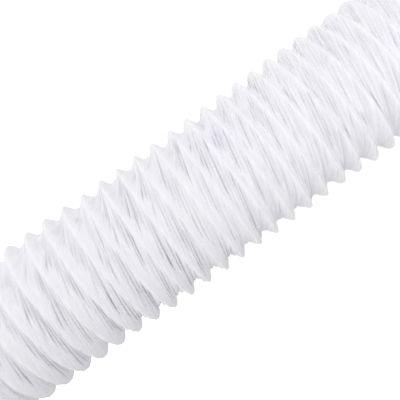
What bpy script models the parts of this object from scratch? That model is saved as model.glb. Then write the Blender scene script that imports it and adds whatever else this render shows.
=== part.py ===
"""Flexible air duct: a white plastic-film sleeve laminated over one long spring-wire helix.

The duct stands on end, its axis on +Z and its lower cut end on the plane z = 0. It stretches,
closes up and bends, so its film and its wire are divided at every turn. Each turn holds a short
sliding stretch, and above it a shorter hinging stretch that bends about X and Y in turn.
"""

import math

import bmesh
import bpy
from mathutils import Vector

# Driving dimensions, in metres
TURNS = 28                  # turns of wire from end to end
PITCH_LOW = 0.0168          # distance between turns at the standing end
PITCH_HIGH = 0.0132         # distance between turns at the top end
CREST_RADIUS = 0.0520       # outside of the film where it passes over the wire
VALLEY_DEPTH = 0.0073       # how far the film dips between two turns of wire
CREST_WIDTH = 0.16          # flat part of the film over the wire, as a share of a turn
FILM_WALL = 0.0006
WIRE_RADIUS = 0.0006
CLEARANCE = 0.0003          # gap between neighbouring solids
SIDES = 20                  # facets around the duct
WIRE_SIDES = 4
END_COLUMNS = 2             # the wire stops this many facets short of each cut end
WRAP_BEFORE = 0.01          # angle, in radians, kept free of vertices where a rim's order begins

# Where the joints of a turn lie, as shares of that turn
HINGE_AT = 0.85             # middle of the stretch that hinges

FILM_COLOUR = (0.86, 0.86, 0.89, 1.0)
WIRE_COLOUR = (0.55, 0.56, 0.58, 1.0)


def height(turn):
    """Height of the wire after a number of turns. The pitch falls evenly from end to end."""
    fall = (PITCH_LOW - PITCH_HIGH) / TURNS
    return PITCH_LOW * turn - 0.5 * fall * turn * turn


def clear_scene():
    for old in list(bpy.data.objects):
        bpy.data.objects.remove(old, do_unlink=True)


def make_material(name, colour, roughness, metallic):
    material = bpy.data.materials.new(name)
    material.use_nodes = True
    shader = material.node_tree.nodes["Principled BSDF"]
    shader.inputs["Base Color"].default_value = colour
    shader.inputs["Roughness"].default_value = roughness
    shader.inputs["Metallic"].default_value = metallic
    return material


def make_empty(name, z, parent):
    """The moving frame of one piece, on the duct's axis at its joint."""
    empty = bpy.data.objects.new(name, None)
    bpy.context.scene.collection.objects.link(empty)
    empty.parent = parent
    empty.location = (0.0, 0.0, z - (parent["station"] if parent else 0.0))
    empty["station"] = z
    return empty


def place(mesh_data, name, material, empty):
    """Wraps a bmesh whose vertices stand in the duct's frame as an object on its empty."""
    mesh = bpy.data.meshes.new(name)
    bmesh.ops.translate(mesh_data, verts=mesh_data.verts, vec=(0.0, 0.0, -empty["station"]))
    bmesh.ops.recalc_face_normals(mesh_data, faces=mesh_data.faces)
    mesh_data.to_mesh(mesh)
    mesh_data.free()
    mesh.materials.append(material)
    piece = bpy.data.objects.new(name, mesh)
    bpy.context.scene.collection.objects.link(piece)
    piece.parent = empty
    return piece


# Film ----------------------------------------------------------------------------------------

def profile():
    """One turn of the film's outline: (share of a turn past the wire, depth under the crest)."""
    return [(-CREST_WIDTH / 2, 0.0), (CREST_WIDTH / 2, 0.0), (0.5, VALLEY_DEPTH)]


def add_helical_surface(mesh_data, crest_radius, first_turn, last_turn):
    """An open scalloped tube that follows the wire over whole turns, as quads."""
    outline = profile()
    columns = []
    for column in range(SIDES):
        angle = 2 * math.pi * column / SIDES
        along = Vector((math.cos(angle), math.sin(angle), 0.0))
        points = []
        for turn in range(first_turn, last_turn + 1):
            for share, depth in outline:
                z = height(turn + column / SIDES + share)
                points.append(mesh_data.verts.new((crest_radius - depth) * along + Vector((0, 0, z))))
        columns.append(points)
    # past the last column the helix has risen by one turn
    columns.append(columns[0][len(outline):])
    for left, right in zip(columns, columns[1:]):
        for row in range(min(len(left), len(right)) - 1):
            mesh_data.faces.new((left[row], right[row], right[row + 1], left[row + 1]))


def cut_level(mesh_data, z, keep_above):
    """Cuts off what lies below or above a level plane, and returns the vertices of the rims left."""
    result = bmesh.ops.bisect_plane(
        mesh_data,
        geom=mesh_data.verts[:] + mesh_data.edges[:] + mesh_data.faces[:],
        dist=1e-7,
        plane_co=(0.0, 0.0, z),
        plane_no=(0.0, 0.0, 1.0),
        clear_inner=keep_above,
        clear_outer=not keep_above,
    )
    return [part for part in result["geom_cut"] if isinstance(part, bmesh.types.BMVert)]


def close_rims(mesh_data, rims):
    """Joins the outer and inner rims of a cut with a flat ring. Both have a vertex at each angle."""
    def angle(vert):
        # counted from a little before +X, so that no pair of vertices is parted there
        return (math.atan2(vert.co.y, vert.co.x) + WRAP_BEFORE) % (2 * math.pi)

    def distance(vert):
        return math.hypot(vert.co.x, vert.co.y)

    ordered = sorted(rims, key=angle)
    pairs = [sorted(pair, key=distance) for pair in zip(ordered[::2], ordered[1::2])]
    for (inner, outer), (next_inner, next_outer) in zip(pairs, pairs[1:] + pairs[:1]):
        mesh_data.faces.new((inner, outer, next_outer, next_inner))


def film_turn(turn):
    """One turn of film as a closed ring with level cut faces. turn counts from 0."""
    low = height(turn) + (CLEARANCE / 2 if turn > 0 else 0.0)
    high = height(turn + 1) - (CLEARANCE / 2 if turn < TURNS - 1 else 0.0)
    mesh_data = bmesh.new()
    for radius in (CREST_RADIUS, CREST_RADIUS - FILM_WALL):
        add_helical_surface(mesh_data, radius, turn - 2, turn + 2)
    for z, keep_above in ((low, True), (high, False)):
        close_rims(mesh_data, cut_level(mesh_data, z, keep_above))
    loose = [vert for vert in mesh_data.verts if not vert.link_faces]
    bmesh.ops.delete(mesh_data, geom=loose, context="VERTS")
    return mesh_data


# Wire ----------------------------------------------------------------------------------------

def wire_turn(turn):
    """One turn of the wire as a closed tube that lies in the pocket under the film's crest."""
    radius = CREST_RADIUS - FILM_WALL - CLEARANCE - WIRE_RADIUS
    first = END_COLUMNS if turn == 0 else 0
    last = SIDES - END_COLUMNS if turn == TURNS - 1 else SIDES
    end_gap = CLEARANCE / 2 / (2 * math.pi * radius)
    mesh_data = bmesh.new()
    rings = []
    for column in range(first, last + 1):
        share = column / SIDES
        share += end_gap if column == first else 0.0
        share -= end_gap if column == last else 0.0
        angle = 2 * math.pi * share
        ring = []
        for side in range(WIRE_SIDES):
            around = 2 * math.pi * side / WIRE_SIDES
            out = radius + WIRE_RADIUS * math.cos(around)
            z = height(turn + share) + WIRE_RADIUS * math.sin(around)
            ring.append(mesh_data.verts.new((out * math.cos(angle), out * math.sin(angle), z)))
        rings.append(ring)
    for one, other in zip(rings, rings[1:]):
        for side in range(WIRE_SIDES):
            after = (side + 1) % WIRE_SIDES
            mesh_data.faces.new((one[side], other[side], other[after], one[after]))
    mesh_data.faces.new(rings[0])
    mesh_data.faces.new(rings[-1][::-1])
    return mesh_data


def main():
    clear_scene()
    film = make_material("film", FILM_COLOUR, 0.42, 0.0)
    wire = make_material("wire", WIRE_COLOUR, 0.35, 1.0)
    hinge = None
    for turn in range(TURNS):
        number = f"{turn + 1:02d}"
        sleeve_frame = make_empty(f"turn_{number}", hinge_height(turn - 1), hinge)
        place(film_turn(turn), f"film_turn_{number}", film, sleeve_frame)
        slide_frame = make_empty(f"coil_{number}", height(turn), sleeve_frame)
        place(wire_turn(turn), f"wire_turn_{number}", wire, slide_frame)
        hinge = slide_frame


def hinge_height(turn):
    """Height of the hinge at the top of a turn, or the standing end for turn -1."""
    return height(turn + HINGE_AT) if turn >= 0 else 0.0


main()
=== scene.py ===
"""Looks of the flexible air duct: pleated white film, the wire in its crests, camera and light.

The film is one continuous skin. Each point of it is given by its angle about the duct's axis and
its height, and from those come its strip coordinates: share, how far it lies across the strip
between two turns of wire, and run, where on the lower wire the pleat through it starts, in turns.
The pleats are tucks in that skin: some cross a strip, and others cross the wire between two.
Each joint of the CAD lies between two level planes, so the skin is cut at those planes, one
slice to a joint.
"""

import math

import bmesh
import bpy
import numpy as np
from mathutils import Matrix, Vector


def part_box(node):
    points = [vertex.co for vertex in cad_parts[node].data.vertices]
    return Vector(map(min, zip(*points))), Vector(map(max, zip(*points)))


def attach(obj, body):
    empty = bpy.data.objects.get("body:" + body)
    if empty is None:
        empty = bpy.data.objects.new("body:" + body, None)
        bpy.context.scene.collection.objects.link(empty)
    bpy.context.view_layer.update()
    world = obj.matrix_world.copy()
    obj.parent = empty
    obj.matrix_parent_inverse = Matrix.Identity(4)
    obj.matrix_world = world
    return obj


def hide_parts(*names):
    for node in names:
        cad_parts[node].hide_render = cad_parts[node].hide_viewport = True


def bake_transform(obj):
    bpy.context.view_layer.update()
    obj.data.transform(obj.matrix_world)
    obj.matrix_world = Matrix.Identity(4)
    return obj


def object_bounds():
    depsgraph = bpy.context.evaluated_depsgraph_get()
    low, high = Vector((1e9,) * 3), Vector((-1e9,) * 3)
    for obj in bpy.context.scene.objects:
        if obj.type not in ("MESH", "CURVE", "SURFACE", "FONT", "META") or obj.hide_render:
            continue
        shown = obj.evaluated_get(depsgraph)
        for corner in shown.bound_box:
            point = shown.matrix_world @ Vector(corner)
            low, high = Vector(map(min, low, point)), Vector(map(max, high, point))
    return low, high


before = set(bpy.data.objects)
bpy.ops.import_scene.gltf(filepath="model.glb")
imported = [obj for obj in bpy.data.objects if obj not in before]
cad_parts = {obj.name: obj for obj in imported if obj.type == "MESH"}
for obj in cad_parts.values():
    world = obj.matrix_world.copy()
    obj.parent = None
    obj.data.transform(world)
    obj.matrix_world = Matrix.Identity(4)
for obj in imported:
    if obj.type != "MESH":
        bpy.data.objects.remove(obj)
cad_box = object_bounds()

# What the frame gives: the turns of wire, the levels between them and the crest's radius
TURNS = sum(name.startswith("film_turn_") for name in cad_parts)
boxes = [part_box(f"film_turn_{turn:02d}") for turn in range(1, TURNS + 1)]
LEVELS = [
    boxes[0][0].z,
    *[(below[1].z + above[0].z) / 2 for below, above in zip(boxes, boxes[1:])],
    boxes[-1][1].z,
]
PITCH_FALL = (LEVELS[1] - LEVELS[0] - LEVELS[-1] + LEVELS[-2]) / (TURNS - 1)
PITCH_LOW = LEVELS[1] - LEVELS[0] + PITCH_FALL / 2
CREST_RADIUS = cad_box[1].x
TOP = LEVELS[-1]

# Where a turn's sliding stretch ends and its hinging stretch begins, as a share of the turn
STRETCH_SHARE = 0.7

# Turns whose hinging slices take their bodies and heights in reverse order: from the upper body to the
# lower one.
BLENDED_DOWN = (8, 18, 19)

# The film's outline, in metres and in shares of a strip
VALLEY_DEPTH = 0.0072
VALLEY_ROUNDNESS = 2.3
VALLEY_SKEW = 0.15          # puts the deepest line nearer the lower wire
VALLEY_SKEW_MORE = 0.4      # added to that on the underside of the upper turns
SKEW_FROM = 0.2             # height above which it is added, in metres
SKEW_OVER = 0.12            # height over which it grows
CREST_SOFTNESS = 0.27
FILM_WALL = 0.00035
WIRE_RADIUS = 0.0006
WIRE_PLAY = 0.0004          # between the wire and the outer ply
WIRE_WRAP = 0.00205         # extra depth between the two plies at the wire
WIRE_WRAP_WIDTH = 0.0010

# The pleats: long tucks, side by side, that slant across a strip from wire to wire
PLEATS = 32                 # in a turn
PLEAT_DEPTH = 0.0021
PLEAT_FADE = (1.2, 0.5)     # share of that depth at the foot, and how much less it is at the top
PLEAT_WIDTH = 0.0005
PLEAT_START = (0.02, 0.4)   # shares of the strip where the pleats start: the first, and the spread
PLEAT_END = (0.88, 0.16)    # and where they end
PLEAT_TURN = 0.3            # how much their slant differs from one side of the duct to the other

# The crossing pleats, which run over a wire from the middle of one strip to that of the next
CROSSING_DEPTH = 0.0018
CROSSING_WIDTH = 0.00045
CROSSING_START = (0.0, 0.3)
CROSSING_END = (0.7, 0.3)
CROSSING_ON_WIRE = 0.22     # share of their depth that they keep on the wire
CROSSING_HELD = 0.25        # share of a strip, beside the wire, over which they lose the rest

# What all pleats have in common
FOLD_LIP = 0.7              # height of the lip beside a tuck, as a share of the tuck's depth
FOLD_LIP_AT = 2.1           # its distance from the tuck, in widths
FOLD_SLANT = 0.024          # range, in turns, over which the far ends of folds stray
FOLD_BOW = 0.03             # how strongly folds may bow between their ends, in turns
FOLD_ENDING = 0.14          # share of a strip over which a fold fades in or out
CRINKLE = 0.0002            # height of the fine lines between the pleats
CRINKLES = 60.0             # in a turn

# Length of each end over which the duct straightens up to its level cut
LEVEL_END = 0.06

# The skin's mesh
COLUMNS = 400
ROWS = 26
ROW_CROWDING = 0.85         # how strongly the rows crowd towards the crests
SLANT = 0.2                 # turns that a pleat runs back along the wire while it crosses a strip
RISE = 1.0 - SLANT
MARGIN = 0.3                # turns of spare mesh past each cut
STEP = 1e-5                 # for slopes, in radians and in metres

# The view of the photographed side
VIEW_AZIMUTH = math.radians(118.7)
VIEW_ROLL = math.radians(36.4)
VIEW_PITCH = math.radians(0.64)
VIEW_HEIGHT = 0.2342
VIEW_DISTANCE = 0.487
VIEW_ASIDE = 0.0008
VIEW_LENS = 61.4
ACROSS = Vector((math.cos(VIEW_AZIMUTH), math.sin(VIEW_AZIMUTH), 0.0))
TOWARDS = Vector((math.sin(VIEW_AZIMUTH), -math.cos(VIEW_AZIMUTH), 0.0))
UP = Vector((0.0, 0.0, 1.0))


def height(turn):
    """Height of the wire after a number of turns."""
    return PITCH_LOW * turn - PITCH_FALL * turn * turn / 2


def turn_at(z):
    """The number of turns after which the wire reaches a height."""
    return (PITCH_LOW - np.sqrt(PITCH_LOW**2 - 2 * PITCH_FALL * z)) / PITCH_FALL


def smooth(t):
    t = np.clip(t, 0.0, 1.0)
    return t * t * (3 - 2 * t)


# Irregularities ------------------------------------------------------------------------------

def wander(turn, per_turn, seed):
    """A smooth random line from -1 to 1 along the wire, with so many random values in a turn."""
    values = np.random.default_rng(seed).uniform(-1.0, 1.0, 4096)
    place = turn * per_turn
    cell = np.floor(place).astype(int)
    part = smooth(place - cell)
    return values[cell % 4096] * (1 - part) + values[(cell + 1) % 4096] * part


def between_wires(share, below, along):
    """Blends a value of the lower wire into that of the upper wire at the same angle."""
    part = smooth(share)
    return along(below) * (1 - part) + along(below + 1) * part


def lean(angle, z):
    """The turns lean a little, one way in the middle of the duct and the other way near its ends."""
    middle = (z - TOP / 2) / (0.29 * TOP)
    across = np.minimum(-0.0126 - 0.0097 * middle + 0.0388 * middle**2, 0.055)
    towards = -0.015 - 0.0212 * middle
    tilt = across * np.cos(angle - VIEW_AZIMUTH) + towards * np.sin(angle - VIEW_AZIMUTH + math.pi)
    return CREST_RADIUS * tilt * smooth(z / LEVEL_END) * smooth((TOP - z) / LEVEL_END)


def sway(angle, z):
    """The lower turns lie a little to one side."""
    aside = -0.0018 * (0.5 + 0.5 * np.tanh((0.165 - z) / 0.022)) * smooth(z / LEVEL_END)
    return aside * np.cos(angle - VIEW_AZIMUTH)


def crest_rise(turn):
    """How far the wire strays up or down from an even helix."""
    ends = smooth(turn / 1.5) * smooth((TURNS - turn) / 1.5)
    return 0.00045 * wander(turn, 2.3, 11) * ends


def crest_swell(turn):
    """How far the wire strays in or out."""
    return 0.00035 * wander(turn, 3.1, 12) - 0.0002


def strip_coordinates(angle, z):
    """(share across the strip, turn at that height) for points of the skin."""
    level = z - lean(angle, z)
    turn = turn_at(level)
    share = (turn - angle / (2 * math.pi)) % 1.0
    turn = turn_at(level - between_wires(share, turn - share, crest_rise))
    return (turn - angle / (2 * math.pi)) % 1.0, turn


# The film's shape ----------------------------------------------------------------------------

def scallop(share, angle, z):
    """Depth of the film between two wires, from 0 on a wire to 1 at its deepest line."""
    underside = 0.5 + 0.5 * np.cos(angle - VIEW_AZIMUTH)
    skew = VALLEY_SKEW + VALLEY_SKEW_MORE * underside * smooth((z - SKEW_FROM) / SKEW_OVER)
    share = share + skew * share * (1 - share)
    from_wire = 1 - np.abs(2 * share - 1)
    rounded = np.sqrt(from_wire**2 + CREST_SOFTNESS**2) - CREST_SOFTNESS
    rounded = rounded / (math.sqrt(1 + CREST_SOFTNESS**2) - CREST_SOFTNESS)
    return 1 - (1 - rounded) ** VALLEY_ROUNDNESS


def ridge(off):
    """An edge with hollow sides, 1 on its line and 1/e a little over one width away."""
    blunt = 0.2
    return np.exp(blunt - np.sqrt(off**2 + blunt**2))


def crossing(share, start, end):
    """1 along a fold, falling to 0 where it starts and ends."""
    return smooth((share - start) / FOLD_ENDING) * smooth((end - share) / FOLD_ENDING)


def across_folds():
    """The distance, straight across the pleats, that one turn of wire makes between them."""
    around = 2 * math.pi * CREST_RADIUS
    return around * PITCH_LOW / math.hypot(around * SLANT, PITCH_LOW)


def warped(angle):
    """The angle that counts for the pleats. They slant less where it grows faster."""
    return angle + PLEAT_TURN * np.cos(angle - VIEW_AZIMUTH + math.pi / 2)


def unwarped(value):
    """The angle at which warped() has a value."""
    angle = value
    for _ in range(12):
        slope = 1 - PLEAT_TURN * np.sin(angle - VIEW_AZIMUTH + math.pi / 2)
        angle = angle - (warped(angle) - value) / slope
    return angle


def folds(run, share, width, depth, starts, ends, seed):
    """Long tucks side by side. Each has its own place, slant, bow, depth, start, end and width."""
    random = np.random.default_rng(seed).random((4096, 7))
    cell = np.floor(run * PLEATS).astype(int)
    total = np.zeros_like(run)
    for step in range(-2, 3):
        place, slant, bow, strength, start, end, wide = random[(cell + step) % 4096].T
        centre = (cell + step + 0.25 + 0.5 * place) / PLEATS
        centre = centre + FOLD_SLANT * (slant - 0.5) * (share - 0.5)
        centre = centre + FOLD_BOW * (bow - 0.5) * share * (1 - share)
        off = (run - centre) * across_folds() / (width * (0.8 + 0.4 * wide))
        part = crossing(share, starts[0] + starts[1] * start, ends[0] + ends[1] * end)
        shape = FOLD_LIP * ridge(off - FOLD_LIP_AT) - ridge(off)
        total += depth * (0.35 + 0.65 * strength) * part * shape
    return total


def pleats(share, run, z):
    """The pleats of a strip, those that cross its wires, and the fine lines between them."""
    depth = PLEAT_DEPTH * (PLEAT_FADE[0] - PLEAT_FADE[1] * smooth(z / TOP))
    total = folds(run, share, PLEAT_WIDTH, depth, PLEAT_START, PLEAT_END, 31)
    # the crossing pleats have strips of their own, half a strip higher
    over = (share + 0.5) % 1.0
    run_over = run + RISE * (share - over)
    free = smooth(np.minimum(share, 1 - share) / CROSSING_HELD)
    kept = CROSSING_ON_WIRE + (1 - CROSSING_ON_WIRE) * free
    start, end = CROSSING_START, CROSSING_END
    total = total + kept * folds(run_over, over, CROSSING_WIDTH, CROSSING_DEPTH, start, end, 32)
    lines = wander(run + 0.02 * share, CRINKLES, 33) * smooth(4 * share) * smooth(4 - 4 * share)
    return total + CRINKLE * lines


def film_radius(angle, z, inside=False):
    """Distance of the film from the duct's axis."""
    share, turn = strip_coordinates(angle, z)
    below = turn - share
    run = below + (warped(angle) - angle) / (2 * math.pi) + SLANT * share
    deep = 1 + 0.06 * wander(run, 5.0, 21) + 0.04 * wander(run, 13.0, 22)
    radius = CREST_RADIUS - VALLEY_DEPTH * scallop(share, angle, z) * deep + sway(angle, z)
    radius = radius + between_wires(share, below, crest_swell) + pleats(share, run, z)
    if inside:
        off_wire = np.minimum(share, 1 - share) * PITCH_LOW / WIRE_WRAP_WIDTH
        radius = radius - FILM_WALL - WIRE_WRAP * np.exp(-(off_wire**2))
    return radius


def film_points(angle, z, inside):
    radius = film_radius(angle, z, inside)
    return np.stack((radius * np.cos(angle), radius * np.sin(angle), z), axis=1)


def film_normals(angle, z, inside):
    """Outward normals, from the slopes of the radius."""
    around = film_radius(angle + STEP, z, inside) - film_radius(angle - STEP, z, inside)
    along = film_radius(angle, z + STEP, inside) - film_radius(angle, z - STEP, inside)
    around = around / (2 * STEP) / film_radius(angle, z, inside)
    along = along / (2 * STEP)
    cosine, sine = np.cos(angle), np.sin(angle)
    normals = np.stack((cosine + around * sine, sine - around * cosine, -along), axis=1)
    return normals / np.linalg.norm(normals, axis=1, keepdims=True)


# Slices of the film --------------------------------------------------------------------------

def row_shares():
    """The rows across a strip, crowded towards the wires, without the one on the upper wire."""
    even = np.arange(ROWS) / ROWS
    return even - ROW_CROWDING * np.sin(2 * math.pi * even) / (2 * math.pi)


def lattice(low, high):
    """A grid along the strips on a plain cylinder, from below the lower cut to above the upper."""
    first = math.floor((turn_at(low) - MARGIN - RISE) * COLUMNS)
    last = math.ceil((turn_at(high) + MARGIN) * COLUMNS)
    run, share = np.meshgrid(np.arange(first, last + 1) / COLUMNS, row_shares(), indexing="ij")
    angle = unwarped(2 * math.pi * (run - SLANT * share))
    turn = angle / (2 * math.pi) + share
    z = height(turn)
    for _ in range(6):
        z = z + height(turn) - height(strip_coordinates(angle, z)[1])
    cylinder = np.stack((CREST_RADIUS * np.cos(angle), CREST_RADIUS * np.sin(angle), z), axis=-1)
    columns, rows = np.meshgrid(np.arange(last - first), np.arange(ROWS), indexing="ij")
    across = round(RISE * COLUMNS)

    def number(column, row):
        over = row == ROWS
        return (column + across * over) * ROWS + np.where(over, 0, row)

    corners = [(columns, rows), (columns + 1, rows), (columns + 1, rows + 1), (columns, rows + 1)]
    faces = np.stack([number(*corner) for corner in corners], axis=-1).reshape(-1, 4)
    faces = faces[faces.max(axis=1) < run.size]
    return cylinder.reshape(-1, 3), faces


def cut_lattice(low, high):
    """(angle, z, loops, starts) of the grid between two level cuts."""
    points, faces = lattice(low, high)
    grid = bpy.data.meshes.new("grid")
    grid.from_pydata(points, [], faces)
    work = bmesh.new()
    work.from_mesh(grid)
    for z, below in ((low, True), (high, False)):
        bmesh.ops.bisect_plane(
            work,
            geom=work.verts[:] + work.edges[:] + work.faces[:],
            dist=1e-7,
            plane_co=(0.0, 0.0, z),
            plane_no=(0.0, 0.0, 1.0),
            clear_inner=below,
            clear_outer=not below,
        )
    loose = [vert for vert in work.verts if not vert.link_faces]
    bmesh.ops.delete(work, geom=loose, context="VERTS")
    work.to_mesh(grid)
    work.free()
    co = np.empty(len(grid.vertices) * 3, np.float32)
    grid.vertices.foreach_get("co", co)
    co = co.reshape(-1, 3).astype(float)
    loops = np.empty(len(grid.loops), np.int32)
    grid.loops.foreach_get("vertex_index", loops)
    starts = np.empty(len(grid.polygons), np.int32)
    grid.polygons.foreach_get("loop_start", starts)
    bpy.data.meshes.remove(grid)
    z = co[:, 2]
    for level in (low, high):
        z[np.abs(z - level) < 1e-6] = level
    return np.arctan2(co[:, 1], co[:, 0]), z, loops, starts


def open_edges(loops, starts):
    """The directed edges that only one face has."""
    totals = np.diff(np.append(starts, len(loops)))
    after = np.arange(len(loops)) + 1
    after[starts + totals - 1] = starts
    edges = np.stack((loops, loops[after]), axis=1).astype(np.int64)
    size = loops.max() + 1
    keys = edges[:, 0] * size + edges[:, 1]
    back = edges[:, 1] * size + edges[:, 0]
    return edges[~np.isin(keys, back)]


def film_mesh(name, low, high):
    """One slice of the film as a closed solid: outer skin, inner skin and two cut faces."""
    angle, z, loops, starts = cut_lattice(low, high)
    count = len(z)
    rim = open_edges(loops, starts)
    totals = np.diff(np.append(starts, len(loops)))
    turned = np.repeat(2 * starts + totals - 1, totals) - np.arange(len(loops))
    caps = np.stack((rim[:, 1], rim[:, 0], rim[:, 0] + count, rim[:, 1] + count), axis=1)
    points = np.concatenate([film_points(angle, z, False), film_points(angle, z, True)])
    corners = np.concatenate([loops, loops[turned] + count, caps.ravel()])
    cap_starts = 2 * len(loops) + 4 * np.arange(len(caps))
    all_starts = np.concatenate([starts, starts + len(loops), cap_starts])
    outward = film_normals(angle, z, False)
    inward = -film_normals(angle, z, True)
    cap_side = np.where(z[rim[:, 0]] > (low + high) / 2, 1.0, -1.0)
    cap_normals = np.zeros((len(caps) * 4, 3))
    cap_normals[:, 2] = np.repeat(cap_side, 4)
    normals = np.concatenate([outward[loops], inward[loops[turned]], cap_normals])
    return build_mesh(name, points, corners, all_starts, normals)


def build_mesh(name, points, corners, starts, normals=None):
    mesh = bpy.data.meshes.new(name)
    mesh.vertices.add(len(points))
    mesh.vertices.foreach_set("co", points.astype(np.float32).ravel())
    mesh.loops.add(len(corners))
    mesh.loops.foreach_set("vertex_index", corners.astype(np.int32))
    mesh.polygons.add(len(starts))
    mesh.polygons.foreach_set("loop_start", starts.astype(np.int32))
    mesh.update(calc_edges=True)
    mesh.validate()
    mesh.shade_smooth()
    if normals is not None:
        mesh.normals_split_custom_set(normals.tolist())
    return mesh


# Slices of the wire --------------------------------------------------------------------------

WIRE_COLUMNS = 120
WIRE_SIDES = 10
WIRE_ENDS = 0.1             # of a turn, by which the wire stops short of each cut end


def wire_mesh(name, first, last):
    """The wire from one turn to another, as a closed tube in the crest of the film."""
    turns = np.linspace(first, last, math.ceil((last - first) * WIRE_COLUMNS) + 1)
    angle = 2 * math.pi * turns
    z = height(turns)
    for _ in range(6):
        z = height(turns) + lean(angle, z) + crest_rise(turns)
    path_radius = CREST_RADIUS - FILM_WALL - WIRE_RADIUS - WIRE_PLAY
    path_radius = path_radius + crest_swell(turns) + sway(angle, z)
    around = 2 * math.pi * np.arange(WIRE_SIDES) / WIRE_SIDES
    out = path_radius[:, None] + WIRE_RADIUS * np.cos(around)
    up = z[:, None] + WIRE_RADIUS * np.sin(around)
    points = np.stack((out * np.cos(angle)[:, None], out * np.sin(angle)[:, None], up), axis=-1)
    ring, side = np.meshgrid(np.arange(len(turns) - 1), np.arange(WIRE_SIDES), indexing="ij")
    after = (side + 1) % WIRE_SIDES
    tube = np.stack(
        (
            ring * WIRE_SIDES + side,
            (ring + 1) * WIRE_SIDES + side,
            (ring + 1) * WIRE_SIDES + after,
            ring * WIRE_SIDES + after,
        ),
        axis=-1,
    ).reshape(-1, 4)
    low_end = np.arange(WIRE_SIDES)
    high_end = (len(turns) - 1) * WIRE_SIDES + np.arange(WIRE_SIDES)[::-1]
    corners = np.concatenate([tube.ravel(), low_end, high_end])
    starts = np.append(np.arange(len(tube)) * 4, [tube.size, tube.size + WIRE_SIDES])
    return build_mesh(name, points.reshape(-1, 3), corners, starts)


# Materials -----------------------------------------------------------------------------------

def new_material(name):
    material = bpy.data.materials.new(name)
    material.use_nodes = True
    tree = material.node_tree
    return material, tree, tree.nodes["Principled BSDF"]


def noise(tree, scale, detail, source):
    node = tree.nodes.new("ShaderNodeTexNoise")
    node.inputs["Scale"].default_value = scale
    node.inputs["Detail"].default_value = detail
    tree.links.new(source, node.inputs["Vector"])
    return node.outputs["Fac"]


def mapped(tree, value, low, high):
    node = tree.nodes.new("ShaderNodeMapRange")
    node.inputs["To Min"].default_value = low
    node.inputs["To Max"].default_value = high
    tree.links.new(value, node.inputs["Value"])
    return node.outputs["Result"]


def joined(tree, operation, *values):
    """A maths node on two or three values, each of them a socket or a number."""
    node = tree.nodes.new("ShaderNodeMath")
    node.operation = operation
    for value, entry in zip(values, node.inputs):
        if isinstance(value, float):
            entry.default_value = value
        else:
            tree.links.new(value, entry)
    return node.outputs["Value"]


def film_material():
    """Thin white laminated film: a soft gloss and a faint cloudiness; its crinkles are in the skin's
    shape.
    """
    material, tree, shader = new_material("film")
    place = tree.nodes.new("ShaderNodeTexCoord").outputs["Object"]
    ramp = tree.nodes.new("ShaderNodeValToRGB")
    ramp.color_ramp.elements[0].color = (0.915, 0.91, 0.95, 1.0)
    ramp.color_ramp.elements[0].position = 0.3
    ramp.color_ramp.elements[1].color = (0.94, 0.935, 0.965, 1.0)
    ramp.color_ramp.elements[1].position = 0.7
    tree.links.new(noise(tree, 90.0, 3.0, place), ramp.inputs["Fac"])
    tree.links.new(ramp.outputs["Color"], shader.inputs["Base Color"])
    tree.links.new(mapped(tree, noise(tree, 260.0, 2.0, place), 0.34, 0.52), shader.inputs["Roughness"])
    shader.inputs["IOR"].default_value = 1.46
    shader.inputs["Specular IOR Level"].default_value = 0.35
    return material


def wire_material():
    """Drawn spring steel."""
    material, tree, shader = new_material("wire")
    place = tree.nodes.new("ShaderNodeTexCoord").outputs["Object"]
    ramp = tree.nodes.new("ShaderNodeValToRGB")
    ramp.color_ramp.elements[0].color = (0.48, 0.49, 0.51, 1.0)
    ramp.color_ramp.elements[1].color = (0.62, 0.63, 0.65, 1.0)
    tree.links.new(noise(tree, 400.0, 2.0, place), ramp.inputs["Fac"])
    tree.links.new(ramp.outputs["Color"], shader.inputs["Base Color"])
    tree.links.new(mapped(tree, noise(tree, 900.0, 2.0, place), 0.28, 0.42), shader.inputs["Roughness"])
    shader.inputs["Metallic"].default_value = 1.0
    return material


def floor_material():
    """Pale studio floor that lights up to white away from the duct."""
    material, tree, shader = new_material("floor")
    place = tree.nodes.new("ShaderNodeTexCoord").outputs["Object"]
    shader.inputs["Base Color"].default_value = (0.9, 0.9, 0.9, 1.0)
    tree.links.new(mapped(tree, noise(tree, 6.0, 2.0, place), 0.75, 0.85), shader.inputs["Roughness"])
    shader.inputs["Emission Color"].default_value = (1.0, 1.0, 1.0, 1.0)
    shader.inputs["Emission Strength"].default_value = 0.85
    return material


# Pieces --------------------------------------------------------------------------------------

def add_piece(mesh, material, slot, nodes, bodies, start, end):
    """A slice that rides on one body; one given two bodies is left in place with its transform applied.
    """
    mesh.materials.append(material)
    piece = bpy.data.objects.new(mesh.name, mesh)
    bpy.context.scene.collection.objects.link(piece)
    if len(bodies) == 2:
        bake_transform(piece)
    else:
        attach(piece, bodies[0])
    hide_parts(*nodes)
    return piece


def add_turn(turn, film, wire):
    """The four slices of one turn: film and wire, over the sliding and the hinging stretch."""
    number = f"{turn:02d}"
    low = LEVELS[turn - 1]
    middle = float(height(turn - 1 + STRETCH_SHARE))
    high = LEVELS[turn]
    above = [f"turn_{turn + 1:02d}"] if turn < TURNS else []
    first = turn - 1 + (WIRE_ENDS if turn == 1 else 0.0)
    last = turn - (WIRE_ENDS if turn == TURNS else 0.0)
    split = turn - 1 + STRETCH_SHARE
    for kind, z_range, t_range, bodies in (
        ("stretch", (low, middle), (first, split), [f"turn_{number}", f"coil_{number}"]),
        ("bend", (middle, high), (split, last), [f"coil_{number}", *above]),
    ):
        down = kind == "bend" and turn in BLENDED_DOWN
        order = -1 if down else 1
        blend = (bodies[::order], *z_range[::order])
        mesh = film_mesh(f"film_{number}_{kind}", *z_range)
        add_piece(mesh, film, "film", [f"film_turn_{number}"], *blend)
        mesh = wire_mesh(f"wire_{number}_{kind}", *t_range)
        add_piece(mesh, wire, "wire", [f"wire_turn_{number}"], *blend)


# Studio --------------------------------------------------------------------------------------

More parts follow.
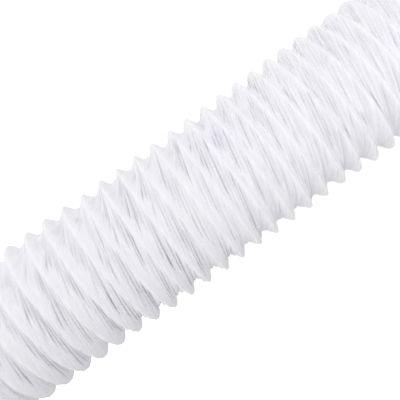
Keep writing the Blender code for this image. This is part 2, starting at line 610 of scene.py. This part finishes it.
# The light comes from everywhere, most of it from the camera's side, from above and from the
# floor: (where from, strength, narrowness)
EVEN_LIGHT = 0.268
GLOWS = (
    (UP - ACROSS, 0.588, 1.0),
    (TOWARDS - ACROSS, 0.771, 4.0),
    (TOWARDS + ACROSS, 0.501, 4.0),
    (-TOWARDS, 0.3, 1.0),
    (-UP, 0.855, 1.0),
)


def add_camera():
    right = math.cos(VIEW_ROLL) * UP + math.sin(VIEW_ROLL) * ACROSS
    up = math.sin(VIEW_ROLL) * UP - math.cos(VIEW_ROLL) * ACROSS
    axes = Matrix((right, up, TOWARDS)).transposed()
    tip = Matrix.Rotation(VIEW_PITCH, 3, ACROSS)
    data = bpy.data.cameras.new("camera")
    data.lens = VIEW_LENS
    data.sensor_width = 36.0
    data.dof.use_dof = False
    camera = bpy.data.objects.new("camera", data)
    bpy.context.scene.collection.objects.link(camera)
    spot = TOWARDS * VIEW_DISTANCE + UP * VIEW_HEIGHT + ACROSS * VIEW_ASIDE
    camera.matrix_world = Matrix.Translation(spot) @ (tip @ axes).to_4x4()
    bpy.context.scene.camera = camera


def add_light(name, across, towards, up, size, power):
    """A square soft box that faces the middle of the duct."""
    middle = UP * TOP / 2
    spot = middle + ACROSS * across + TOWARDS * towards + UP * up
    data = bpy.data.lights.new(name, "AREA")
    data.shape = "SQUARE"
    data.size = size
    data.energy = power
    light = bpy.data.objects.new(name, data)
    bpy.context.scene.collection.objects.link(light)
    facing = (middle - spot).to_track_quat("-Z", "Y").to_matrix().to_4x4()
    light.matrix_world = Matrix.Translation(spot) @ facing


def add_world(even, glows):
    """White behind the duct. On the duct, an even light and wide glows from a few directions."""
    world = bpy.data.worlds.new("studio")
    world.use_nodes = True
    tree = world.node_tree
    background = tree.nodes["Background"]
    background.inputs["Color"].default_value = (1.0, 1.0, 1.0, 1.0)
    facing = tree.nodes.new("ShaderNodeTexCoord").outputs["Generated"]
    total = even
    for direction, strength, narrowness in glows:
        dot = tree.nodes.new("ShaderNodeVectorMath")
        dot.operation = "DOT_PRODUCT"
        dot.inputs[1].default_value = direction.normalized()
        tree.links.new(facing, dot.inputs[0])
        part = joined(tree, "POWER", joined(tree, "MAXIMUM", dot.outputs["Value"], 0.0), narrowness)
        total = joined(tree, "MULTIPLY_ADD", part, strength, total)
    seen = tree.nodes.new("ShaderNodeLightPath").outputs["Is Camera Ray"]
    backdrop = mapped(tree, seen, 0.0, 1.05)
    tree.links.new(joined(tree, "MAXIMUM", backdrop, total), background.inputs["Strength"])
    bpy.context.scene.world = world


def add_floor():
    mesh = bpy.data.meshes.new("floor")
    work = bmesh.new()
    bmesh.ops.create_circle(work, cap_ends=True, radius=1.6, segments=96)
    work.to_mesh(mesh)
    work.free()
    mesh.materials.append(floor_material())
    floor = bpy.data.objects.new("floor", mesh)
    bpy.context.scene.collection.objects.link(floor)
    floor.visible_diffuse = False
    floor.visible_glossy = False
    floor.visible_shadow = False


def main():
    film, wire = film_material(), wire_material()
    for turn in range(1, TURNS + 1):
        add_turn(turn, film, wire)
    add_camera()
    add_world(EVEN_LIGHT, GLOWS)
    add_light("fill", across=0.3, towards=0.4, up=0.3, size=0.3, power=0.6)
    add_floor()
    bpy.context.scene.view_settings.view_transform = "Standard"


main()
